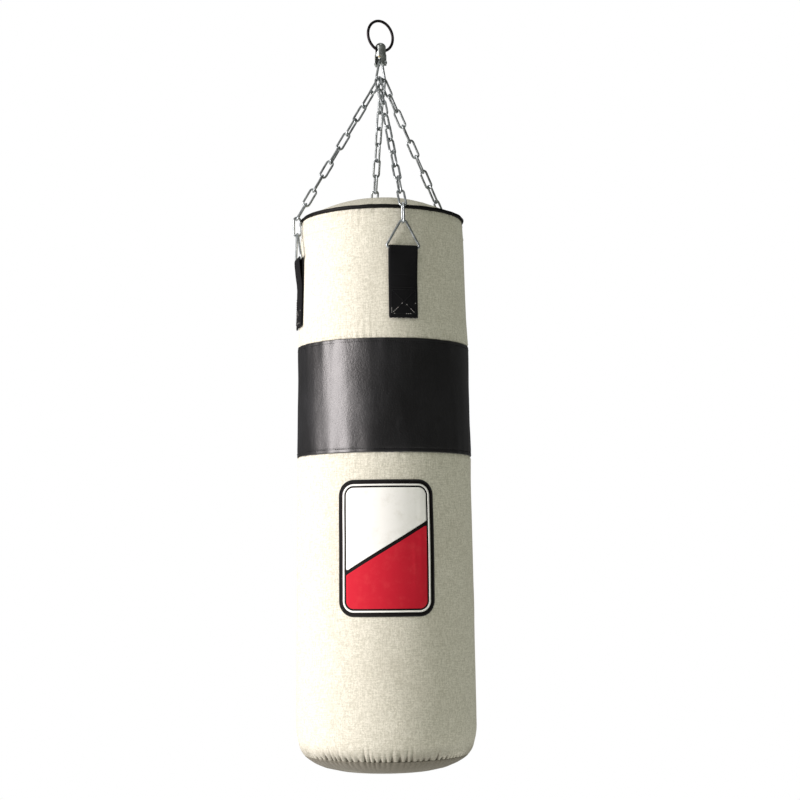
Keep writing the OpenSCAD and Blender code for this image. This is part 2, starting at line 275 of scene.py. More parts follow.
def threadFinish(name, shade):
    f = Finish(name, Specular_IOR_Level=0.2)
    x, y, z = f.place()
    twist = ribs(x + y + z, 0.5 * mm)
    # painted shade in the twist's grooves: darker where the twist dips
    dark = tuple(s * 0.55 for s in shade)
    f.wear(Base_Color=f.mix(twist, dark, shade), Roughness=0.6 + twist * 0.15,
           Normal=f.bump(twist, 0.15 * mm, 0.6))
    return f


def metalFinish(name, dark, light, rough, scratch, metallic=1.0):
    # plated metal with fine scratches and specks of dirt
    f = Finish(name, Specular_IOR_Level=0.5)
    x, y, z = f.place()
    cloud = f.noise(f.where, 90.0, 4.0, 0.6)
    grit = f.noise(f.where, 1400.0, 2.0)
    line = f.streaks(x * 260, y * 260, z * 2600, 2.0).step(0.5, 0.75)
    dirt = f.noise(f.where, 320.0, 3.0).step(0.55, 0.75)
    colour = f.mix(cloud.step(0.3, 0.7) * 0.7 + line * 0.3, dark, light)
    colour = f.mix(dirt * 0.35, colour, tuple(s * 0.35 for s in dark))
    f.wear(Base_Color=colour, Roughness=rough + cloud * 0.12 + dirt * 0.15,
           Metallic=metallic - dirt * 0.25, Normal=f.bump(grit * 0.5 + line * scratch, 0.06 * mm, 0.5))
    return f


def printFinish(name, shade, worn):
    # ink printed on a close-woven patch
    f = Finish(name, Specular_IOR_Level=0.15)
    u, v = around(f, 155 * mm)
    threads = weave(u, v, 0.8 * mm)
    fade = f.noise(f.where, 55.0, 4.0, 0.65)
    f.wear(Base_Color=f.mix(fade.step(0.45, 0.8) * 0.5 + (1 - threads) * 0.25, shade, worn),
           Roughness=0.55 + fade * 0.25, Normal=f.bump(threads, 0.22 * mm, 0.6))
    return f


def feltFinish(name, dark, light):
    f = Finish(name, Roughness=0.95, Sheen_Weight=0.3)
    f.place()
    fibre, patch = f.noise(f.where, 500.0, 4.0, 0.8), f.noise(f.where, 25.0)
    f.wear(Base_Color=f.mix(fibre * 0.6 + patch * 0.4, dark, light), Normal=f.bump(fibre, 1.0 * mm, 0.8))
    return f


finishes = {made.name: made for made in (
    canvasFinish("canvas", 0.0),
    # darkened all over: painted shade on the downward-facing base
    canvasFinish("shadedBaseCloth", 0.92, level=True),
    # darkened a little all over
    canvasFinish("topCloth", 0.18, level=True),
    vinylFinish(),
    pipingFinish(),
    webbingFinish("webbing", (0.001, 0.001, 0.0012), (0.007, 0.007, 0.008)),
    webbingFinish("zipTape", (0.02, 0.02, 0.02), (0.06, 0.06, 0.058)),
    threadFinish("paleThread", (0.72, 0.69, 0.60)),
    threadFinish("blackThread", (0.014, 0.014, 0.015)),
    threadFinish("greyThread", (0.38, 0.37, 0.35)),
    metalFinish("zinc", (0.21, 0.23, 0.235), (0.60, 0.64, 0.64), 0.24, 0.3, 0.75),
    metalFinish("nickel", (0.24, 0.26, 0.25), (0.58, 0.62, 0.58), 0.26, 0.5, 0.8),
    metalFinish("darkSteel", (0.016, 0.013, 0.015), (0.055, 0.045, 0.050), 0.36, 0.6, 0.8),
    metalFinish("brass", (0.42, 0.30, 0.12), (0.70, 0.55, 0.28), 0.28, 0.5),
    printFinish("inkBlack", (0.003, 0.002, 0.002), (0.014, 0.010, 0.010)),
    printFinish("inkRed", (0.50, 0.006, 0.022), (0.56, 0.035, 0.045)),
    printFinish("inkWhite", (0.84, 0.83, 0.80), (0.66, 0.64, 0.58)),
    feltFinish("felt", (0.09, 0.09, 0.10), (0.22, 0.22, 0.24)),
    feltFinish("rags", (0.18, 0.15, 0.13), (0.42, 0.38, 0.34)),
)}
print("finishes made:", len(finishes))


def gridFaces(rows, columns, closed=False, start=0):
    # quads between neighbouring rows; closed joins the last column to the first
    last = columns if closed else columns - 1
    i, j = np.meshgrid(np.arange(rows - 1), np.arange(last), indexing="ij")
    k = (j + 1) % columns
    quads = np.stack([i * columns + j, i * columns + k, (i + 1) * columns + k, (i + 1) * columns + j], -1)
    return (quads.reshape(-1, 4) + start).tolist()


def slabFaces(rows, columns, start=0, flip=False):
    # two grids of points, one over the other, joined round their edges
    under = rows * columns
    rim = list(range(columns)) + [i * columns + columns - 1 for i in range(1, rows)]
    rim += [(rows - 1) * columns + j for j in range(columns - 2, -1, -1)]
    rim += [i * columns for i in range(rows - 2, 0, -1)]
    faces = [face[::-1] for face in gridFaces(rows, columns)] + gridFaces(rows, columns, False, under)
    faces += [[p, q, q + under, p + under] for p, q in zip(rim, rim[1:] + rim[:1])]
    return [[start + i for i in (face[::-1] if flip else face)] for face in faces]


def piece(name, points, faces, finish, instead=None):
    # a mesh that rides on the bag, in place of a CAD node where one is named
    mesh = bpy.data.meshes.new(name)
    mesh.from_pydata(np.reshape(points, (-1, 3)).tolist(), [], faces)
    mesh.polygons.foreach_set("use_smooth", [True] * len(mesh.polygons))
    mesh.update()
    mesh.materials.append(finishes[finish].material)
    made = bpy.data.objects.new(name, mesh)
    scene.collection.objects.link(made)
    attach(made, "bag")
    if instead:
        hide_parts(instead)
    return made


def smoothStep(low, high, x):
    t = np.clip((x - low) / (high - low), 0, 1)
    return t * t * (3 - 2 * t)


def hump(x, middle, width):
    # a round hump of height 1
    return np.exp(-(((x - middle) / width) ** 2))


def circle(count):
    return np.linspace(-math.pi, math.pi, count, endpoint=False)


def turnBetween(a, turn):
    # the angle between two headings, the short way round
    return np.abs((a - turn + math.pi) % (2 * math.pi) - math.pi)


def swell(a, z, seed, turns, waves, count=14):
    # a smooth field that closes round the bag: turns and waves bound its detail each way
    pick = np.random.default_rng(seed)
    total = 0
    for _ in range(count):
        m, q = pick.integers(1, turns + 1), pick.uniform(-waves, waves)
        total = total + np.cos(m * a + q * z + pick.uniform(0, 2 * math.pi))
    return total / math.sqrt(count / 2)


def spread(low, high, step, edgeStep, edge):
    # heights from low to high, closer together near both ends
    z, heights = low, [low]
    while z < high - 1e-9:
        near = min(z - low, high - z)
        z += edgeStep if near < edge else step
        heights.append(min(z, high))
    return np.array(heights)


def walk(path, shares):
    # places along a flat path, by their share of its length
    along = np.concatenate([[0], np.cumsum(np.hypot(*np.diff(path, axis=0).T))])
    return np.array([np.interp(shares * along[-1], along, line) for line in path.T])


# the bag's outline: radius at each height, the same as the CAD panels
wallPoints = np.array([(-1303, 143.5), (-1292, 149.8), (-1280, 154.2), (-1262, 157.6), (-1230, 158.2),
                       (-1150, 157.2), (-1080, 156.6), (-1000, 156), (-900, 154.7), (-820, 153.3),
                       (-789.5, 152.9), (-692, 152.2), (-595.5, 150.6), (-500, 148), (-437, 146.6),
                       (-400, 144.6), (-371.5, 142.6)]) * mm
seams = {"rim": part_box("upper_panel")[1].z, "bandTop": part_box("vinyl_band")[1].z,
         "bandLow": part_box("vinyl_band")[0].z, "base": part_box("lower_panel")[0].z}
hangers = {"front": math.radians(12.5), "right": math.radians(126), "back": math.radians(186),
           "left": math.radians(-79)}


def outline(z, reach=7 * mm):
    # the same outline with its corners rounded off
    z = np.asarray(z, float)
    total = sum(np.interp(z + s * reach, wallPoints[:, 0], wallPoints[:, 1]) for s in (-1, -0.5, 0, 0.5, 1))
    keep = smoothStep(0, 2 * reach, np.minimum(z - seams["base"], seams["rim"] - z))
    return keep * total / 5 + (1 - keep) * np.interp(z, wallPoints[:, 0], wallPoints[:, 1])


def ringPoint(a, r, z):
    return np.stack(np.broadcast_arrays(r * np.sin(a), -r * np.cos(a), z), -1)


cover = {"columns": 96, "rows": 104, "pressure": 6.0, "stiff": 20, "bend": 2.5, "quality": 6, "frames": 20,
         "cap": 3.0 * mm, "sink": 1.2 * mm, "uneven": 0.4 * mm, "ease": 90 * mm}


def simulate(points, c, pinned, packed):
    # runs the cloth and gives the settled points
    mesh = bpy.data.meshes.new("fillCover")
    mesh.from_pydata(points.tolist(), [], gridFaces(c["rows"], c["columns"], True))
    skin = bpy.data.objects.new("fillCover", mesh)
    scene.collection.objects.link(skin)
    held, push = skin.vertex_groups.new(name="held"), skin.vertex_groups.new(name="push")
    for row in pinned:
        held.add(list(range(row * c["columns"], (row + 1) * c["columns"])), 1.0, "REPLACE")
    for index, weight in enumerate(packed.reshape(-1)):
        push.add([index], float(weight), "REPLACE")
    cloth = skin.modifiers.new("cloth", "CLOTH")
    settings = cloth.settings
    settings.effector_weights.gravity = 0
    settings.vertex_group_mass = "held"
    settings.use_pressure = True
    settings.uniform_pressure_force = c["pressure"]
    settings.vertex_group_pressure = "push"
    settings.tension_stiffness = settings.compression_stiffness = c["stiff"]
    settings.bending_stiffness = c["bend"]
    settings.quality = c["quality"]
    cloth.collision_settings.use_collision = False
    scene.frame_end = c["frames"]
    for number in range(1, c["frames"] + 1):
        scene.frame_set(number)
    settled = skin.evaluated_get(bpy.context.evaluated_depsgraph_get()).to_mesh()
    moved = np.array([v.co for v in settled.vertices]).reshape(c["rows"], c["columns"], 3)
    scene.frame_set(1)
    bpy.data.objects.remove(skin)
    return moved


def fillCover(c):
    # the canvas tube, stitched down at its seams and pushed out unevenly by packed rags
    zs = np.linspace(seams["base"], seams["rim"], c["rows"])
    angles = circle(c["columns"])
    a, z = np.meshgrid(angles, zs)
    pinned = [int(np.abs(zs - height).argmin()) for height in seams.values()]
    slack = np.ones(c["rows"])
    for row in pinned:
        slack = np.minimum(slack, smoothStep(0, c["ease"], np.abs(zs - zs[row])))
    slack = slack[:, None]
    packed = 0.55 + 0.45 * np.clip(swell(a, z, 11, 5, 34) * 0.5 + swell(a, z, 12, 11, 80) * 0.35, -1, 1)
    start = outline(zs)[:, None] - c["sink"] * slack + c["uneven"] * swell(a, z, 13, 7, 50) * slack
    moved = simulate(ringPoint(a, start, z).reshape(-1, 3), c, pinned, packed)
    bulge = np.hypot(moved[..., 0], moved[..., 1]) - outline(zs)[:, None]
    print("cover filled: bulge %.2f to %.2f mm" % (bulge.min() / mm, bulge.max() / mm))
    return angles, zs, np.clip(bulge, -c["sink"], c["cap"])


coverAngles, coverHeights, coverBulge = fillCover(cover)


def bulgeAt(a, z):
    # the settled cover between its own points, bilinear and closed round the bag
    a, z = np.broadcast_arrays(a, z)
    columns = len(coverAngles)
    u = (a + math.pi) / (2 * math.pi) * columns
    v = np.clip((z - coverHeights[0]) / (coverHeights[-1] - coverHeights[0]), 0, 1) * (len(coverHeights) - 1)
    i = np.clip(v.astype(int), 0, len(coverHeights) - 2)
    j = np.floor(u).astype(int)
    s, t = smoothStep(0, 1, v - i), smoothStep(0, 1, u - j)
    near, far = j % columns, (j + 1) % columns
    low = coverBulge[i, near] * (1 - t) + coverBulge[i, far] * t
    high = coverBulge[i + 1, near] * (1 - t) + coverBulge[i + 1, far] * t
    return low * (1 - s) + high * s


sewnFlat = {"heights": (-620 * mm, -570 * mm), "turns": (0.17, 0.34)}


def calm(a, z):
    # 1 on the open cloth, 0 under the straps, where the cloth is sewn flat
    a, z = np.broadcast_arrays(a, z)
    rest = np.ones(a.shape)
    inside = smoothStep(*sewnFlat["heights"], z)
    for turn in hangers.values():
        rest = np.minimum(rest, 1 - (1 - smoothStep(*sewnFlat["turns"], turnBetween(a, turn))) * inside)
    return rest


def wallAt(a, z):
    return outline(z) + bulgeAt(a, z) * calm(a, z)


def clothBand(name, radii, a, heights, finish, instead):
    # a closed band of cloth from rows of radii
    points = ringPoint(a[None, :], radii, heights)
    piece(name, points, gridFaces(*radii.shape, True), finish, instead)


seamSide = {"pucker": 0.28 * mm, "reach": 16 * mm, "dip": 0.9 * mm, "dipReach": 5 * mm,
            "seeds": {"rim": 21, "bandTop": 22, "bandLow": 23}}


def pucker(a, z, seam):
    # small creases that stitching pulls into the cloth beside a seam
    off = z - seams[seam]
    crease = swell(a, z * 0, seamSide["seeds"][seam], 90, 1, 24) * seamSide["pucker"]
    near = np.exp(-np.abs(off) / seamSide["reach"])
    return crease * near - seamSide["dip"] * hump(off, 0, seamSide["dipReach"])


backSeam = {"turn": math.radians(157), "half": 6.5 * mm, "proud": 1.0 * mm, "shoulder": 1.2 * mm,
            "radius": 154 * mm, "rows": (-4.2 * mm, 4.2 * mm), "pitch": 4.2 * mm}


def seamRidge(a):
    # the flat-felled seam that closes the tube: a low flat ridge two layers thick
    b = backSeam
    off = turnBetween(a, b["turn"]) * b["radius"]
    return b["proud"] * (1 - smoothStep(b["half"] - b["shoulder"], b["half"], off))


pleats = {"count": 86, "deep": 7.5 * mm, "reach": 11 * mm, "crest": 1.2 * mm, "crestAt": 8 * mm}


def pleatLine(a):
    # 0 on the crest of a gather and 1 in its fold, with uneven spacing and depth
    wander = a + 0.020 * np.sin(5 * a + 1.0) + 0.012 * np.sin(13 * a + 2.0) + 0.006 * np.sin(29 * a)
    fold = 1 - np.abs(np.sin(wander * pleats["count"] / 2)) ** 0.85
    uneven = 0.8 + 0.2 * np.clip(swell(a, a * 0, 31, 37, 1, 18), -1, 1)
    return fold * uneven


panel = {"columns": 744, "pleatColumns": 860, "hem": 8 * mm, "hemSink": 1.6 * mm}


def upperPanel():
    # turned in under the piping, with a hem under the band
    p, angles = panel, circle(panel["columns"])
    zs = spread(seams["bandTop"] - p["hem"], seams["rim"], 5 * mm, 1.6 * mm, 18 * mm)
    a, z = np.meshgrid(angles, zs)
    r = wallAt(a, z) + (pucker(a, z, "rim") + pucker(a, z, "bandTop")) * calm(a, z)
    r = r - p["hemSink"] * (1 - smoothStep(-2 * mm, 3 * mm, z - seams["bandTop"])) + seamRidge(a)
    radii = np.stack([*r, r[-1] - 1.2 * mm, r[-1] - 6 * mm])
    heights = np.stack([*z, z[-1] + 1.0 * mm, z[-1] + 1.0 * mm])
    clothBand("upperCanvas", radii, angles, heights, "canvas", "upper_panel")


band = {"proud": 0.6 * mm, "round": 1.5 * mm, "fold": 2.2 * mm, "groove": 0.5 * mm, "grooveAt": 6 * mm,
        "grooveHalf": 2 * mm, "wrinkle": 0.28 * mm, "wrinkleReach": 22 * mm}


def bandPanel():
    # folded under along both edges, standing a little proud, drawn in along its stitching
    b, angles = band, circle(panel["columns"])
    a, z = np.meshgrid(angles, spread(seams["bandLow"], seams["bandTop"], 4 * mm, 1.0 * mm, 9 * mm))
    inner = np.minimum(z - seams["bandLow"], seams["bandTop"] - z)
    r = wallAt(a, z) + b["proud"] * np.sqrt(np.clip(inner / b["round"], 0, 1))
    r = r - b["groove"] * hump(inner, b["grooveAt"], b["grooveHalf"])
    wrinkle = b["wrinkle"] * (0.3 + np.exp(-inner / b["wrinkleReach"]))
    r = r + wrinkle * swell(a, z, 41, 40, 20, 24) + seamRidge(a)
    radii = np.stack([r[0] - b["fold"], *r, r[-1] - b["fold"]])
    heights = np.stack([z[0] + 0.2 * mm, *z, z[-1] - 0.2 * mm])
    clothBand("vinylBand", radii, angles, heights, "vinyl", "vinyl_band")


def lowerPanel():
    # a hem under the band above, gathered at the base seam below
    p, angles = pleats, circle(panel["pleatColumns"])
    fine = seams["base"] + 62 * mm
    zs = np.concatenate([spread(seams["base"], fine, 2.2 * mm, 1.1 * mm, 14 * mm)[:-1],
                         spread(fine, seams["bandLow"] + panel["hem"], 6 * mm, 2 * mm, 20 * mm)])
    a, z = np.meshgrid(angles, zs)
    up = z - seams["base"]
    length = p["reach"] * (0.75 + 0.35 * np.clip(swell(a, a * 0, 32, 40, 1, 18), -1, 1))
    r = wallAt(a, z) + pucker(a, z, "bandLow")
    r = r - panel["hemSink"] * smoothStep(-3 * mm, 2 * mm, z - seams["bandLow"])
    r = r - p["deep"] * pleatLine(a) * np.exp(-((up / length) ** 1.4))
    r = r + p["crest"] * hump(up, p["crestAt"], p["crestAt"]) + seamRidge(a)
    radii = np.stack([r[0] - 5.5 * mm, r[0] - 1.6 * mm, *r])
    heights = np.stack([z[0] + 1.4 * mm, z[0] - 0.7 * mm, *z])
    clothBand("lowerCanvas", radii, angles, heights, "canvas", "lower_panel")


upperPanel()
bandPanel()
lowerPanel()
print("side panels made")


base = {"edgeRings": 15, "rings": 46, "columns": 688, "gather": 2.2 * mm, "gatherRise": 0.8,
        "gatherAt": 141 * mm, "gatherReach": 8 * mm, "lump": 0.8 * mm, "past": 1.5 * mm, "corner": 4,
        "profile": ((138, 1.6), (142, -0.6), (142.2, -2.2), (139.5, -4.5), (136, -7.3), (126, -13.8),
                    (112, -19.8), (90, -25.2), (60, -28.2), (4, -29))}


def basePanel():
    # a round dish, gathered into the base seam, with finer rings outside its corner
    b, angles = base, circle(base["columns"])
    profile = np.array(b["profile"]) * mm
    edge = walk(profile[:b["corner"] + 1], np.linspace(0, 1, b["edgeRings"], endpoint=False))
    dish = walk(profile[b["corner"]:], np.linspace(0, 1, b["rings"] - b["edgeRings"]))
    r, drop = np.hstack([edge, dish])
    rings, drop = len(r), drop[:, None]
    a, radius = np.meshgrid(angles, r)
    depth = seams["base"] + drop + 0 * a
    gather = b["gather"] * pleatLine(a) * np.exp(-np.abs(radius - b["gatherAt"]) / b["gatherReach"])
    radius = radius - gather
    depth = depth + b["gatherRise"] * gather * (drop < -2 * mm)
    lumps = swell(a, radius * 0, 51, 6, 1) * swell(a * 0, radius, 52, 1, 60)
    lumps = lumps * smoothStep(0, 60 * mm, radius) * (1 - smoothStep(-18 * mm, -6 * mm, drop))
    depth = np.maximum(depth + b["lump"] * lumps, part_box("base_panel")[0].z - b["past"])
    centre = [0, 0, seams["base"] + profile[-1, 1]]
    points = np.vstack([ringPoint(a, radius, depth).reshape(-1, 3), centre])
    faces = [face[::-1] for face in gridFaces(rings, b["columns"], True)]
    first = (rings - 1) * b["columns"]
    faces += [[first + (j + 1) % b["columns"], first + j, len(points) - 1] for j in range(b["columns"])]
    piece("baseCanvas", points, faces, "shadedBaseCloth", "base_panel")


basePanel()

# the top panel is part of a ball; its zip runs along the line between two chains
top = {"edge": 138.9 * mm, "overlap": 1.5 * mm, "rise": 37 * mm, "across": 60, "along": 150,
       "gathers": 23, "gather": 1.0 * mm, "gatherReach": 14 * mm, "lump": 0.5 * mm, "tuck": 2.5 * mm,
       "zipTurn": math.radians(147.5), "zipHalf": 90 * mm, "slotHalf": 5.5 * mm, "slotDeep": 3.4 * mm,
       "lip": 0.5 * mm, "lipHalf": 2.2 * mm}
top["ball"] = (top["edge"] ** 2 + top["rise"] ** 2) / (2 * top["rise"])
top["centre"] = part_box("top_panel")[1].z - top["ball"]


def zipFrame(x, y, z):
    # from the zip's own frame, x along it, to the bag's
    c, s = math.cos(top["zipTurn"]), math.sin(top["zipTurn"])
    return np.stack(np.broadcast_arrays(c * x - s * y, s * x + c * y, z), -1)


def zipSlot(x, y):
    # how far the cloth drops into the zip's slot, less its raised lips
    t, off = top, np.abs(y)
    slot = 1 - smoothStep(t["slotHalf"] - 0.9 * mm, t["slotHalf"] + 0.3 * mm, off)
    slot = slot * (1 - smoothStep(t["zipHalf"] - 1 * mm, t["zipHalf"] + 1 * mm, np.abs(x)))
    lip = hump(off, t["slotHalf"] + 2 * mm, t["lipHalf"])
    lip = lip * (1 - smoothStep(t["zipHalf"], t["zipHalf"] + 4 * mm, np.abs(x)))
    return t["slotDeep"] * slot - t["lip"] * lip


def topPanel():
    # a square grid bent to a disc, with its lines closer together near the zip
    t = top
    u, v = np.meshgrid(np.linspace(-1, 1, t["along"] + 1), np.linspace(-1, 1, 2 * t["across"] + 1))
    v = np.sign(v) * np.abs(v) ** 1.7
    reach = t["edge"] + t["overlap"]
    x, y = u * np.sqrt(1 - v * v / 2) * reach, v * np.sqrt(1 - u * u / 2) * reach
    r, a = np.hypot(x, y), np.arctan2(y, x)
    z = t["centre"] + np.sqrt(t["ball"] ** 2 - r * r)
    fold = 1 - np.abs(np.sin(t["gathers"] * (a + 0.03 * np.sin(7 * a)))) ** 0.8
    z = z - t["gather"] * fold * np.exp(-(t["edge"] - r) / t["gatherReach"]) * (0.6 + 0.4 * np.sin(3 * a + 1))
    free = smoothStep(20 * mm, 70 * mm, r) * smoothStep(0, 30 * mm, t["edge"] - r)
    z = z + t["lump"] * swell(a, r * 0, 61, 5, 1) * free
    z = z - t["tuck"] * smoothStep(t["edge"] - 4 * mm, reach, r) - zipSlot(x, y)
    piece("topCanvas", zipFrame(x, y, z), gridFaces(*z.shape), "topCloth",
                     "top_panel")


topPanel()
print("top and base made")


def sweep(path, radius, sides=12):
    # a round tube along a closed path of points
    n = len(path)
    ahead = np.roll(path, -1, 0) - np.roll(path, 1, 0)
    ahead = ahead / np.linalg.norm(ahead, axis=1, keepdims=True)
    up = np.tile([0.0, 0.0, 1.0], (n, 1))
    up[np.abs(ahead[:, 2]) > 0.9] = [1.0, 0.0, 0.0]
    side = np.cross(ahead, up)
    side = (side / np.linalg.norm(side, axis=1, keepdims=True))[:, None]
    up = np.cross(side[:, 0], ahead)[:, None]
    turn = np.linspace(0, 2 * math.pi, sides, endpoint=False)[None, :, None]
    points = path[:, None] + radius * (np.cos(turn) * side + np.sin(turn) * up)
    faces = [[i % (n * sides) for i in face] for face in gridFaces(n + 1, sides, True)]
    return points, faces


piping = {"columns": 360, "sides": 18, "wave": 0.25 * mm, "lift": 0.8, "snug": 0.98}


def rimPiping():
    # round piping sewn between the top and upper panels
    p, a = piping, circle(piping["columns"])
    low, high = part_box("rim_piping")
    radius = (high.z - low.z) / 2
    wave = p["wave"] * swell(a, a * 0, 71, 30, 1, 20)
    path = ringPoint(a, high.x - radius + wave, (high.z + low.z) / 2 + wave * p["lift"])
    points, faces = sweep(path, radius * p["snug"], p["sides"])
    piece("rimPiping", points, faces, "piping", "rim_piping")


rimPiping()


def stitches(name, starts, ends, outward, thread, finish, slot):
    # each stitch is a short bead of thread that dives into the cloth at both ends
    outward = np.broadcast_to(outward, starts.shape)
    t, sides = np.linspace(0, 1, 6), 6
    lift = np.sin(t * math.pi) * thread * 0.9 - thread * 0.35
    fat = thread / 2 * np.array([0.45, 0.9, 1, 1, 0.9, 0.45])
    long = ends - starts
    side = np.cross(long / np.linalg.norm(long, axis=1, keepdims=True), outward)
    turn = np.linspace(0, 2 * math.pi, sides, endpoint=False)[None, :, None]
    middle = starts[:, None] + long[:, None] * t[None, :, None] + outward[:, None] * lift[None, :, None]
    ring = np.cos(turn) * side[:, None] + np.sin(turn) * outward[:, None]
    points = middle[:, :, None] + fat[None, :, None, None] * ring[:, None]
    each = len(t) * sides
    pattern = gridFaces(len(t), sides, True) + [list(range(sides))[::-1], list(range(each - sides, each))]
    faces = [[i + k * each for i in face] for k in range(len(starts)) for face in pattern]
    piece(name, points, faces, finish)


sewing = {"count": 232, "share": 0.72, "thread": 0.9 * mm, "sunk": 0.1 * mm, "proud": 0.2 * mm,
          "threads": {"canvas": "paleThread", "vinyl": "blackThread"}}


def seamStitches(name, seam, height, slot):
    # one row round the bag; on the canvas it follows the pucker of its seam
    s, a = sewing, circle(sewing["count"])
    b = a + 2 * math.pi / s["count"] * s["share"]
    level = np.full(s["count"], height)
    ends = []
    for angle in (a, b):
        over = pucker(angle, level, seam) * calm(angle, level) - s["sunk"] if slot == "canvas" else s["proud"]
        ends.append(ringPoint(angle, wallAt(angle, level) + over, height))
    stitches(name, *ends, ringPoint((a + b) / 2, 1.0, 0.0), s["thread"], s["threads"][slot], slot)


for name, seam, off, slot in (("rimStitches", "rim", -7, "canvas"), ("rimHemStitches", "rim", -30, "canvas"),
                              ("bandTopStitches", "bandTop", -6, "vinyl"),
                              ("bandLowStitches", "bandLow", 6, "vinyl"),
                              ("hemTopStitches", "bandTop", 5, "canvas"),
                              ("hemLowStitches", "bandLow", -5, "canvas")):
    seamStitches(name, seam, seams[seam] + off * mm, slot)


def backStitches(name, low, high, slot):
    # two rows down the closing seam
    b = backSeam
    z = np.arange(low, high, b["pitch"])
    starts, ends = [], []
    for row in b["rows"]:
        a = np.full(len(z), b["turn"] + row / b["radius"])
        for group, level in ((starts, z), (ends, z + b["pitch"] * sewing["share"])):
            group.append(ringPoint(a, wallAt(a, level) + b["proud"] - sewing["sunk"], level))
    stitches(name, np.vstack(starts), np.vstack(ends), ringPoint(b["turn"], 1.0, 0.0), sewing["thread"],
             sewing["threads"][slot], slot)


backStitches("backSeamUpper", seams["bandTop"] + 8 * mm, seams["rim"] - 9 * mm, "canvas")
backStitches("backSeamBand", seams["bandLow"] + 9 * mm, seams["bandTop"] - 9 * mm, "vinyl")
backStitches("backSeamLower", seams["base"] + 16 * mm, seams["bandLow"] - 8 * mm, "canvas")
print("piping and seams made")


strap = {"width": 50 * mm, "layer": 2.0 * mm, "top": -437 * mm, "height": 125 * mm, "wire": 2.1 * mm,
         "across": 33, "out": 151.1 * mm, "leave": 52 * mm, "upright": 8 * mm, "lump": 0.25 * mm,
         "inset": 4 * mm, "box": (7 * mm, 48 * mm), "bars": (52 * mm, 74 * mm, 77 * mm), "pitch": 3.4 * mm,
         "thread": 0.85 * mm, "worn": 0.3, "wornBelow": 30 * mm, "wornThread": 1.0 * mm,
         "frayed": 30, "frayThread": 0.5 * mm}
strap["foot"] = strap["top"] - strap["height"]
strap["bar"] = strap["top"] - strap["layer"] - strap["wire"]  # middle of the ring's bar
strap["bend"] = strap["wire"] + strap["layer"] / 2 + 0.15 * mm


def strapLength():
    # the strap from its side, from the inner end over the ring to the outer end
    s = strap
    inner = [("in", z) for z in np.linspace(s["foot"] + 3 * mm, s["bar"] - 4 * mm, 40)]
    loop = [("loop", t) for t in np.linspace(math.pi, 0, 15)]
    return inner + loop + [("out", z) for z in np.linspace(s["bar"] - 4 * mm, s["foot"], 44)]


def strapRow(layer, value, x, seed):
    # one row across the webbing: round the ring, or bent to the wall and drawn out to the ring
    s = strap
    if layer == "loop":
        out, z = s["out"] + s["bend"] * math.cos(value), s["bar"] + s["bend"] * math.sin(value)
        return np.stack(np.broadcast_arrays(x, -out, z), -1)
    outer = layer == "out"
    curved = np.sqrt((outline(value) + 0.3 * mm) ** 2 - x * x) + s["layer"] * (1.52 if outer else 0.5)
    flat = s["out"] + (s["bend"] if outer else -s["bend"])
    blend = np.clip((value - s["bar"] + s["leave"]) / (s["leave"] - s["upright"]), 0, 1)
    lump = s["lump"] * math.sin(value * 190 + seed) * (1.0 if outer else 0.25)
    out = curved * (1 - blend) + flat * blend + lump * (x / (s["width"] / 2)) ** 2
    cut = 0.5 * mm if outer and value < s["foot"] + 1 * mm else 0  # the cut end isn't quite straight
    return np.stack([x, -np.maximum(out, curved), value + cut * np.sin(x * 900 + seed)], -1)


def strapSheet(side, spin, seed):
    s = strap
    x = np.linspace(-s["width"] / 2, s["width"] / 2, s["across"])
    middle = np.array([strapRow(layer, value, x, seed) for layer, value in strapLength()])
    normal = np.cross(np.gradient(middle, axis=0), np.gradient(middle, axis=1))
    normal = normal / np.linalg.norm(normal, axis=2, keepdims=True)
    half = s["layer"] / 2 * np.clip(1.35 * (1 - (np.abs(x) / (s["width"] / 2)) ** 14), 0.35, 1)[None, :, None]
    points = np.stack([middle + normal * half, middle - normal * half]) @ spin
    made = piece(side + "Strap", points, slabFaces(*middle.shape[:2]), "webbing",
                 "strap_" + side)


def strapFace(x, z):
    # the strap's outer face, as a distance towards the front
    return -(np.sqrt((outline(z) + 0.3 * mm) ** 2 - x ** 2) + 2 * strap["layer"] + 0.1 * mm)


def strapStitches(side, spin, pick):
    # a box with a cross low down and bars over it and under the ring; some low stitches are rubbed pale
    s = strap
    w, (low, high) = s["width"] / 2 - s["inset"], (s["foot"] + z for z in s["box"])
    lines = [((-w, low), (w, low)), ((w, low), (w, high)), ((w, high), (-w, high)), ((-w, high), (-w, low)),
             ((-w, low), (w, high)), ((w, low), (-w, high))]
    lines += [((-w, s["foot"] + z), (w, s["foot"] + z)) for z in s["bars"]]
    starts, ends = [], []
    for (x0, z0), (x1, z1) in lines:
        count = int(math.hypot(x1 - x0, z1 - z0) / s["pitch"])
        t = np.arange(count) / count
        for group, u in ((starts, t), (ends, t + sewing["share"] / count)):
            x, z = x0 + (x1 - x0) * u, z0 + (z1 - z0) * u
            group.append(np.stack([x, strapFace(x, z), z], -1))
    starts, ends = np.vstack(starts) @ spin, np.vstack(ends) @ spin
    worn = (pick.random(len(starts)) < s["worn"]) & (starts[:, 2] < s["foot"] + s["wornBelow"])
    for name, some, thread, finish in (("Stitches", ~worn, s["thread"], "blackThread"),
                                       ("RubbedStitches", worn, s["wornThread"], "greyThread")):
        stitches(side + "Strap" + name, starts[some], ends[some], -spin[1], thread, finish, "webbing")


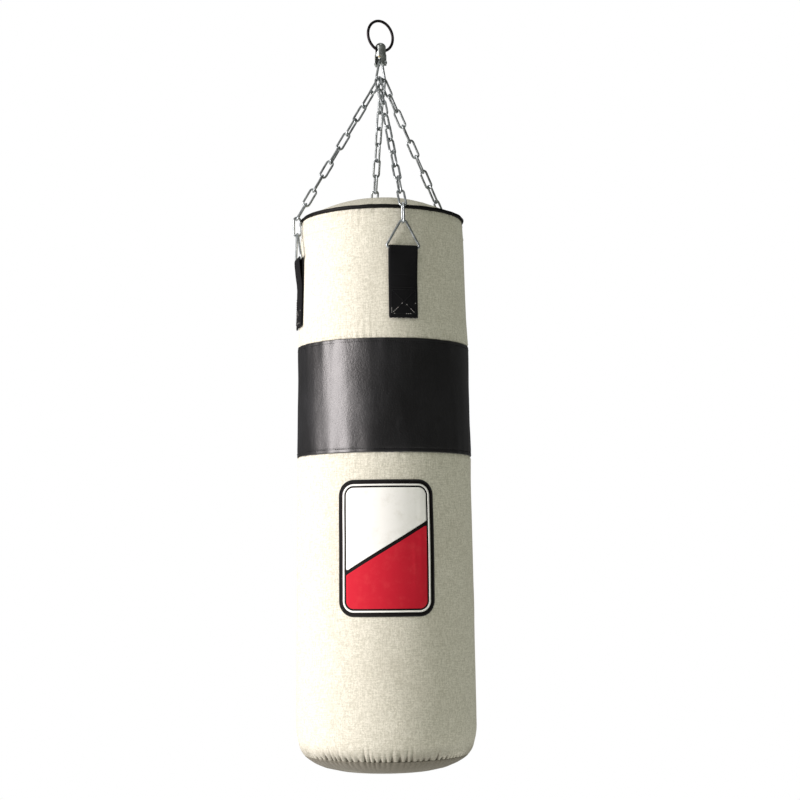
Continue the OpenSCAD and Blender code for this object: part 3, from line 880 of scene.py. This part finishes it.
def strapFray(side, spin, pick, finish):
    # loose threads along the cut edge
    s, edge = strap, strap["width"] / 2 - 1 * mm
    starts, ends = [], []
    for x in np.linspace(-edge, edge, s["frayed"]):
        out = strapFace(x, s["foot"]) + pick.uniform(0.4, 3.2) * mm
        starts.append((x, out, s["foot"] + 1.0 * mm))
        ends.append((x + pick.uniform(-1, 1) * mm, out - pick.uniform(-0.2, 0.5) * mm,
                     s["foot"] - pick.uniform(0.6, 2.6) * mm))
    stitches(side + "StrapFray", np.array(starts) @ spin, np.array(ends) @ spin, -spin[1], s["frayThread"],
             finish, "webbing")


for seed, (side, turn) in enumerate(hangers.items(), 81):
    spin, pick = np.array(Matrix.Rotation(turn, 3, "Z")).T, np.random.default_rng(seed)
    strapSheet(side, spin, seed)
    strapStitches(side, spin, pick)
    strapFray(side, spin, pick, "greyThread" if seed % 2 else "blackThread")
print("straps made")


emblem = {"width": 160 * mm, "height": 228 * mm, "corner": 26 * mm, "middle": -950 * mm, "radius": 150 * mm,
          "edge": 1.0 * mm, "patchProud": 1.1 * mm, "fieldProud": 1.5 * mm, "turnDown": -1 * mm,
          "slope": 0.62, "gap": 3.5 * mm, "inset": 13 * mm, "line": (7 * mm, 10 * mm), "lineLow": 0.6 * mm,
          "border": 1.25 * mm, "borderInset": 0.8 * mm, "borderProud": 0.7 * mm}


def plateSize(inset):
    # half width, half height and corner radius of the rounded plate
    e = emblem
    return e["width"] / 2 - inset, e["height"] / 2 - inset, max(e["corner"] - inset, 1 * mm)


def onWall(x, z, proud):
    a, height = x / emblem["radius"], z + emblem["middle"]
    return ringPoint(a, wallAt(a, height) + proud, height)


def patchPiece(name, inset, proud, edges, finish, instead):
    # rows across the plate between two edges, curved round the bag, with the rim turned down to the wall
    w, h, r = plateSize(inset)
    z = h * np.sin(np.linspace(-1, 1, 121) * math.pi / 2)
    over = np.clip(np.abs(z) - (h - r), 0, r)
    lo, hi = edges(z, w - r + np.sqrt(np.maximum(r * r - over * over, 0)))
    keep = hi - lo > 0.5 * mm
    z, lo, hi = (v[keep][:, None] for v in (z, lo, hi))
    x = lo + (hi - lo) * np.linspace(0, 1, 61)[None, :]
    rise = np.pad(np.full(x.shape, proud), 1, constant_values=emblem["turnDown"])
    x, z = np.pad(x, 1, mode="edge"), np.pad(z + 0 * x, 1, mode="edge")
    return piece(name, onWall(x, z, rise), gridFaces(*x.shape), finish, instead)


def plateEdge(inset, count=400):
    # evenly spaced points round the rounded plate
    w, h, r = plateSize(inset)
    path = []
    for k, (sx, sz) in enumerate(((1, 1), (-1, 1), (-1, -1), (1, -1))):
        for turn in np.linspace(0, math.pi / 2, count // 8) + k * math.pi / 2:
            path.append((sx * (w - r) + r * math.cos(turn), sz * (h - r) + r * math.sin(turn)))
    return walk(np.array(path + path[:1]), np.linspace(0, 1, count, endpoint=False))


def makeEmblem():
    e = emblem
    patch = patchPiece("emblemPatch", e["edge"], e["patchProud"], lambda z, w: (-w, w), "inkBlack",
                       "emblem_patch")
    patchPiece("emblemRed", e["inset"], e["fieldProud"],
               lambda z, w: (np.clip((z + e["gap"]) / e["slope"], -w, w), w), "inkRed",
               "emblem_red")
    patchPiece("emblemWhite", e["inset"], e["fieldProud"],
               lambda z, w: (-w, np.clip((z - e["gap"]) / e["slope"], -w, w)), "inkWhite",
               "emblem_white")
    # thin white line inside the border
    outer, inner = (plateEdge(inset) for inset in e["line"])
    rings = [onWall(*outer, e["lineLow"]), onWall(*outer, e["fieldProud"]), onWall(*inner, e["fieldProud"]),
             onWall(*inner, e["lineLow"])]
    piece("emblemLine", np.vstack(rings), gridFaces(len(rings), len(rings[0]), True), "inkWhite",
          "emblem_line")
    # overlocked border
    points, faces = sweep(onWall(*plateEdge(e["borderInset"]), e["borderProud"]), e["border"], 10)
    border = piece("emblemBorder", points, faces, "blackThread")
    w, h, r = plateSize(e["edge"])
    2 * w
    2 * h
    4 * w * h - (4 - math.pi) * r ** 2


makeEmblem()
print("emblem made")


zipParts = {"teeth": 84, "toothDeep": (-0.3 * mm, -1.6 * mm), "gap": 1.6 * mm, "tapeOut": 15 * mm,
            "tapeDeep": (-2.2 * mm, -3.0 * mm), "tapeHalf": top["zipHalf"] + 8 * mm,
            "teethHalf": top["zipHalf"] - 4 * mm,
            "tooth": ((3.0, 0.483), (1.3, 0.483), (0.9, 0.713), (-0.9, 0.575),
                      (-0.9, -0.575), (0.9, -0.713), (1.3, -0.483), (3.0, -0.483))}


def arcPlace(along, across, depth):
    # a point over the top panel: arc length along the zip, distance from it, height over the ball
    turn = along / top["ball"]
    r = top["ball"] + depth
    return zipFrame(r * np.sin(turn), across, top["centre"] + r * np.cos(turn))


def zipTape():
    p, points, faces = zipParts, [], []
    along, across = np.meshgrid(np.linspace(-p["tapeHalf"], p["tapeHalf"], 160),
                                np.linspace(p["gap"], p["tapeOut"], 10), indexing="ij")
    for side in (-1, 1):
        faces += slabFaces(*along.shape, len(points) * along.size, side < 0)
        points += [arcPlace(along, side * across, depth) for depth in p["tapeDeep"]]
    tape = piece("zipTape", np.stack(points), faces, "zipTape", "zip_tape")
    2 * (p["tapeOut"] - p["gap"])
    2 * p["tapeHalf"]


def zipTeeth():
    # the teeth of the two sides take turns along the zip
    p, points, faces = zipParts, [], []
    tooth = np.array(p["tooth"]) * mm
    n = len(tooth)
    ring = list(range(n))
    pattern = [ring, [n + i for i in ring][::-1]] + [[n + i, n + (i + 1) % n, (i + 1) % n, i] for i in ring]
    for k in range(p["teeth"]):
        side = 1 if k % 2 else -1
        middle = p["teethHalf"] * ((2 * k + 1) / p["teeth"] - 1)
        faces += [[i + 2 * n * k for i in (face if side > 0 else face[::-1])] for face in pattern]
        points += [arcPlace(middle + tooth[:, 1], side * tooth[:, 0], depth) for depth in p["toothDeep"]]
    teeth = piece("zipTeeth", np.vstack(points), faces, "brass", "zip_teeth")
    teeth.data.polygons.foreach_set("use_smooth", [False] * len(teeth.data.polygons))


zipTape()
zipTeeth()
print("zip made")


inside = {"columns": 96, "liner": (-1296 * mm, -374 * mm), "linerGap": 2.4 * mm, "linerThick": 9 * mm,
          "linerLumps": 0.4 * mm, "ragsGap": 13.4, "ragRings": 130, "ragsIn": 1.5 * mm, "crumple": 1.0 * mm,
          "crumpleOut": 0.5 * mm, "ragsTop": ((2, -343), (50, -346.6), (95, -358.5), (118, -372)),
          "ragsLow": ((122, -1311), (108, -1317), (60, -1324), (2, -1325.4))}


def feltLiner():
    n, angles = inside, circle(inside["columns"])
    a, z = np.meshgrid(angles, np.linspace(*n["liner"], 70))
    r = outline(z) - n["linerGap"] + n["linerLumps"] * swell(a, z, 91, 9, 40)
    back = n["linerThick"]
    radii = np.concatenate([r[:1] - back, r, r[-1:] - back, r[::-1] - back])
    heights = np.concatenate([z[:1], z, z[-1:], z[::-1]])
    clothBand("feltLiner", radii, angles, heights, "felt", "foam_liner")


def packedRags():
    n = inside
    side = [(r / mm - n["ragsGap"], z / mm) for z, r in wallPoints[::-1]]
    profile = np.array([*n["ragsTop"], *side, *n["ragsLow"]]) * mm
    r, z = walk(profile, np.linspace(0, 1, n["ragRings"]))
    a, z = np.meshgrid(circle(n["columns"]), z)
    crumple = np.minimum(n["crumple"] * swell(a, z, 92, 12, 60), n["crumpleOut"])
    points = ringPoint(a, np.maximum(r[:, None] - n["ragsIn"] + crumple, 1 * mm), z)
    faces = [face[::-1] for face in gridFaces(*a.shape, True)]
    faces += [list(range(n["columns"])), list(range(a.size - n["columns"], a.size))[::-1]]
    piece("packedRags", points, faces, "rags", "filling")


feltLiner()
packedRags()
print("liner and filling made")


metalLooks = {"hanging_ring": "darkSteel", "swivel_head": "nickel", "retaining_nut": "nickel",
              "thrust_washer": "brass", "swivel_yoke": "nickel", "yoke_pin": "zinc", "connector_link": "zinc",
              "zip_slider": "nickel", "zip_pull": "nickel"}
for side in hangers:
    metalLooks["chain_" + side] = metalLooks["triangle_ring_" + side] = "zinc"


def finishMetal(node, finish):
    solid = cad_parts[node]
    for slot in solid.material_slots:
        slot.material = finishes[finish].material
    if not solid.material_slots:
        solid.data.materials.append(finishes[finish].material)


for node, finish in metalLooks.items():
    finishMetal(node, finish)
print("metal finished")


studio = {"floor": -2.05, "floorSize": 8.8, "floorCount": 12, "fade": (1.5, 4.2), "overhead": 0.45,
          "overheadSoft": 20, "fill": 0.43, "fillColour": (0.96, 1.0, 0.88), "gloss": 0.08, "seen": 1.0}
keyLight = {"turn": -63, "distance": 2.3, "height": -0.35, "aim": -0.85, "wide": 1.15, "tall": 2.1,
            "power": 98, "colour": (1.0, 0.945, 0.965)}


def studioFloor(s):
    # pale, fading out towards its edges
    line = np.linspace(-s["floorSize"] / 2, s["floorSize"] / 2, s["floorCount"])
    points = np.stack(np.meshgrid(line, line, s["floor"]), -1).reshape(-1, 3)
    mesh = bpy.data.meshes.new("floor")
    mesh.from_pydata(points.tolist(), [], gridFaces(len(line), len(line)))
    floor = bpy.data.objects.new("floor", mesh)
    scene.collection.objects.link(floor)
    paint = Finish("floorPaint", Specular_IOR_Level=0.1)
    x, y, z = paint.place()
    speck = paint.noise(paint.where, 3.0)
    paint.wear(Base_Color=paint.mix(speck, (0.93, 0.93, 0.93), (0.96, 0.96, 0.96)),
               Roughness=0.85 + speck * 0.1, Alpha=1 - (x * x + y * y).math("SQRT").step(*s["fade"]))
    mesh.materials.append(paint.material)


def studioLights(s, k):
    # a tall soft key from the left, and an overhead light for the floor, which the bag's side hardly meets
    data = bpy.data.lights.new("key", "AREA")
    data.shape, data.size, data.size_y, data.energy = "RECTANGLE", k["wide"], k["tall"], k["power"]
    data.color = k["colour"]
    lamp = bpy.data.objects.new("key", data)
    scene.collection.objects.link(lamp)
    turn = math.radians(k["turn"] + camera["side"])
    lamp.location = (k["distance"] * math.sin(turn), -k["distance"] * math.cos(turn), k["height"])
    lamp.rotation_euler = (Vector((0, 0, k["aim"])) - lamp.location).to_track_quat("-Z", "Y").to_euler()
    data = bpy.data.lights.new("overhead", "SUN")
    data.energy, data.angle = s["overhead"], math.radians(s["overheadSoft"])
    scene.collection.objects.link(bpy.data.objects.new("overhead", data))


def studioWorld(s):
    # an even fill, which reflections meet dimmer and the camera sees as white
    world = bpy.data.worlds.new("studio")
    scene.world = world
    world.use_nodes = True
    nodes, links = world.node_tree.nodes, world.node_tree.links
    path, surface = nodes.new("ShaderNodeLightPath"), nodes["Background"]
    surface.inputs["Color"].default_value = (*s["fillColour"], 1)
    surface.inputs["Strength"].default_value = s["fill"]
    for ray, strength in (("Is Glossy Ray", s["gloss"]), ("Is Camera Ray", s["seen"])):
        other, pick = nodes.new("ShaderNodeBackground"), nodes.new("ShaderNodeMixShader")
        other.inputs["Color"].default_value = (1, 1, 1, 1)
        other.inputs["Strength"].default_value = strength
        links.new(path.outputs[ray], pick.inputs[0])
        links.new(surface.outputs[0], pick.inputs[1])
        links.new(other.outputs[0], pick.inputs[2])
        surface = pick
    links.new(surface.outputs[0], nodes["World Output"].inputs["Surface"])
    scene.view_settings.view_transform = "Standard"


studioFloor(studio)
studioLights(studio, keyLight)
studioWorld(studio)
print("studio lit")
